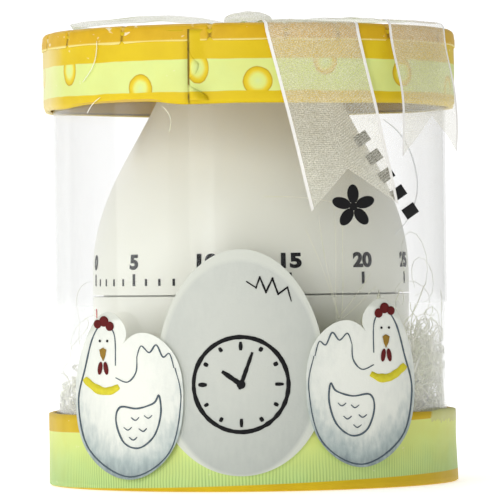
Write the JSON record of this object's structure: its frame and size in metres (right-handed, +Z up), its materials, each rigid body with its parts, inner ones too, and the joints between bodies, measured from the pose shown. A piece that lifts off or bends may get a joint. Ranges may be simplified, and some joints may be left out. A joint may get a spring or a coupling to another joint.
{
  "type": "kitchen timer",
  "caption": "Wind-up egg-shaped kitchen timer with a turning dial half, standing in a round clear gift tube with card base, lid, ribbon, shredded nest and shaped cards.",
  "frame": {"origin": "centre of the gift box's flat underside", "axes": "+Z up the box's axis, -Y towards the front where the shaped cards are, +X to the right seen from the front"},
  "size_m": [0.078, 0.0786, 0.0896],
  "materials": {
    "grey_board": "matt",
    "printed_paper": "satin",
    "acetate": "gloss",
    "paper_shred": "matt",
    "printed_card": "satin",
    "organza": "satin",
    "shell_plastic": "gloss",
    "foot_rubber": "matt",
    "steel": "satin",
    "spring_steel": "satin",
    "brass": "satin",
    "bell_steel": "gloss"
  },
  "bodies": {
    "gift_box": {"base_floor": "grey_board", "base_rim": "grey_board", "base_underside_paper": "printed_paper", "base_wrap": "printed_paper", "insert_pad": "grey_board", "acetate_tube": "acetate", "shred_nest": "paper_shred", "egg_card": "printed_card", "left_hen_card": "printed_card", "right_hen_card": "printed_card", "card_pads": "grey_board"},
    "lid": {"lid_disc": "grey_board", "lid_rim": "grey_board", "lid_top_paper": "printed_paper", "lid_wrap": "printed_paper", "ribbon_knot": "organza", "ribbon_loop": "organza", "ribbon_tail_front": "organza", "ribbon_tail_side": "organza"},
    "timer": {"lower_shell": "shell_plastic", "foot_ring": "foot_rubber", "base_screws": "steel", "lower_plate": "brass", "upper_plate": "brass", "plate_pillars": "steel", "plate_nuts": "steel", "mainspring": "spring_steel", "balance_spring": "spring_steel", "hammer_spring": "spring_steel", "bell": "bell_steel", "bell_bush": "steel", "bell_nut": "steel"},
    "dial": {"dial_shell": "shell_plastic", "main_arbor": "steel", "great_wheel": "brass", "clutch_spring": "spring_steel", "arbor_collar": "steel", "trip_cam": "brass"},
    "second_wheel": {"second_pinion_arbor": "steel", "second_wheel": "brass"},
    "third_wheel": {"third_pinion_arbor": "steel", "third_wheel": "brass"},
    "escape_wheel": {"escape_pinion_arbor": "steel", "escape_wheel": "brass"},
    "anchor": {"anchor": "steel", "anchor_arbor": "steel"},
    "balance": {"balance_staff": "steel", "balance_wheel": "brass"},
    "hammer": {"hammer_arbor": "steel", "cam_follower": "steel", "hammer_arm": "steel"}
  },
  "joints": [
    {"name": "timer_lift", "type": "slide", "parent": "gift_box", "child": "timer", "axis": [0, 0, 1], "range_m": [0, 0.085]},
    {"name": "lid_lift", "type": "slide", "parent": "timer", "child": "lid", "axis": [0, 0, 1], "range_m": [0, 0.06]},
    {"name": "dial_turn", "type": "hinge", "parent": "timer", "child": "dial", "pos_m": [0, 0, 0], "axis": [0, 0, -1], "range_deg": [0, 355], "stiffness_Nm_per_rad": 0.004},
    {"name": "second_turn", "type": "hinge", "parent": "timer", "child": "second_wheel", "pos_m": [0.01503, 0, 0], "axis": [0, 0, -1], "continuous": true},
    {"name": "third_turn", "type": "hinge", "parent": "timer", "child": "third_wheel", "pos_m": [0.01174, 0.00905, 0], "axis": [0, 0, -1], "continuous": true},
    {"name": "escape_turn", "type": "hinge", "parent": "timer", "child": "escape_wheel", "pos_m": [0.00732, 0.0167, 0], "axis": [0, 0, -1], "continuous": true},
    {"name": "anchor_rock", "type": "hinge", "parent": "timer", "child": "anchor", "pos_m": [0.00043, 0.01791, 0], "axis": [0, 0, 1], "range_deg": [-5, 5]},
    {"name": "balance_swing", "type": "hinge", "parent": "timer", "child": "balance", "pos_m": [-0.00695, 0.01607, 0], "axis": [0, 0, 1], "range_deg": [-30, 30]},
    {"name": "hammer_swing", "type": "hinge", "parent": "timer", "child": "hammer", "pos_m": [-0.012, -0.008, 0], "axis": [0, 0, 1], "range_deg": [0, 5]}
  ],
  "couplings": [
    {"joint": "second_turn", "follows": "dial_turn", "ratio": -5},
    {"joint": "third_turn", "follows": "dial_turn", "ratio": 25},
    {"joint": "escape_turn", "follows": "dial_turn", "ratio": -112.5},
    {"joint": "balance_swing", "follows": "anchor_rock", "ratio": -5.9}
  ]
}
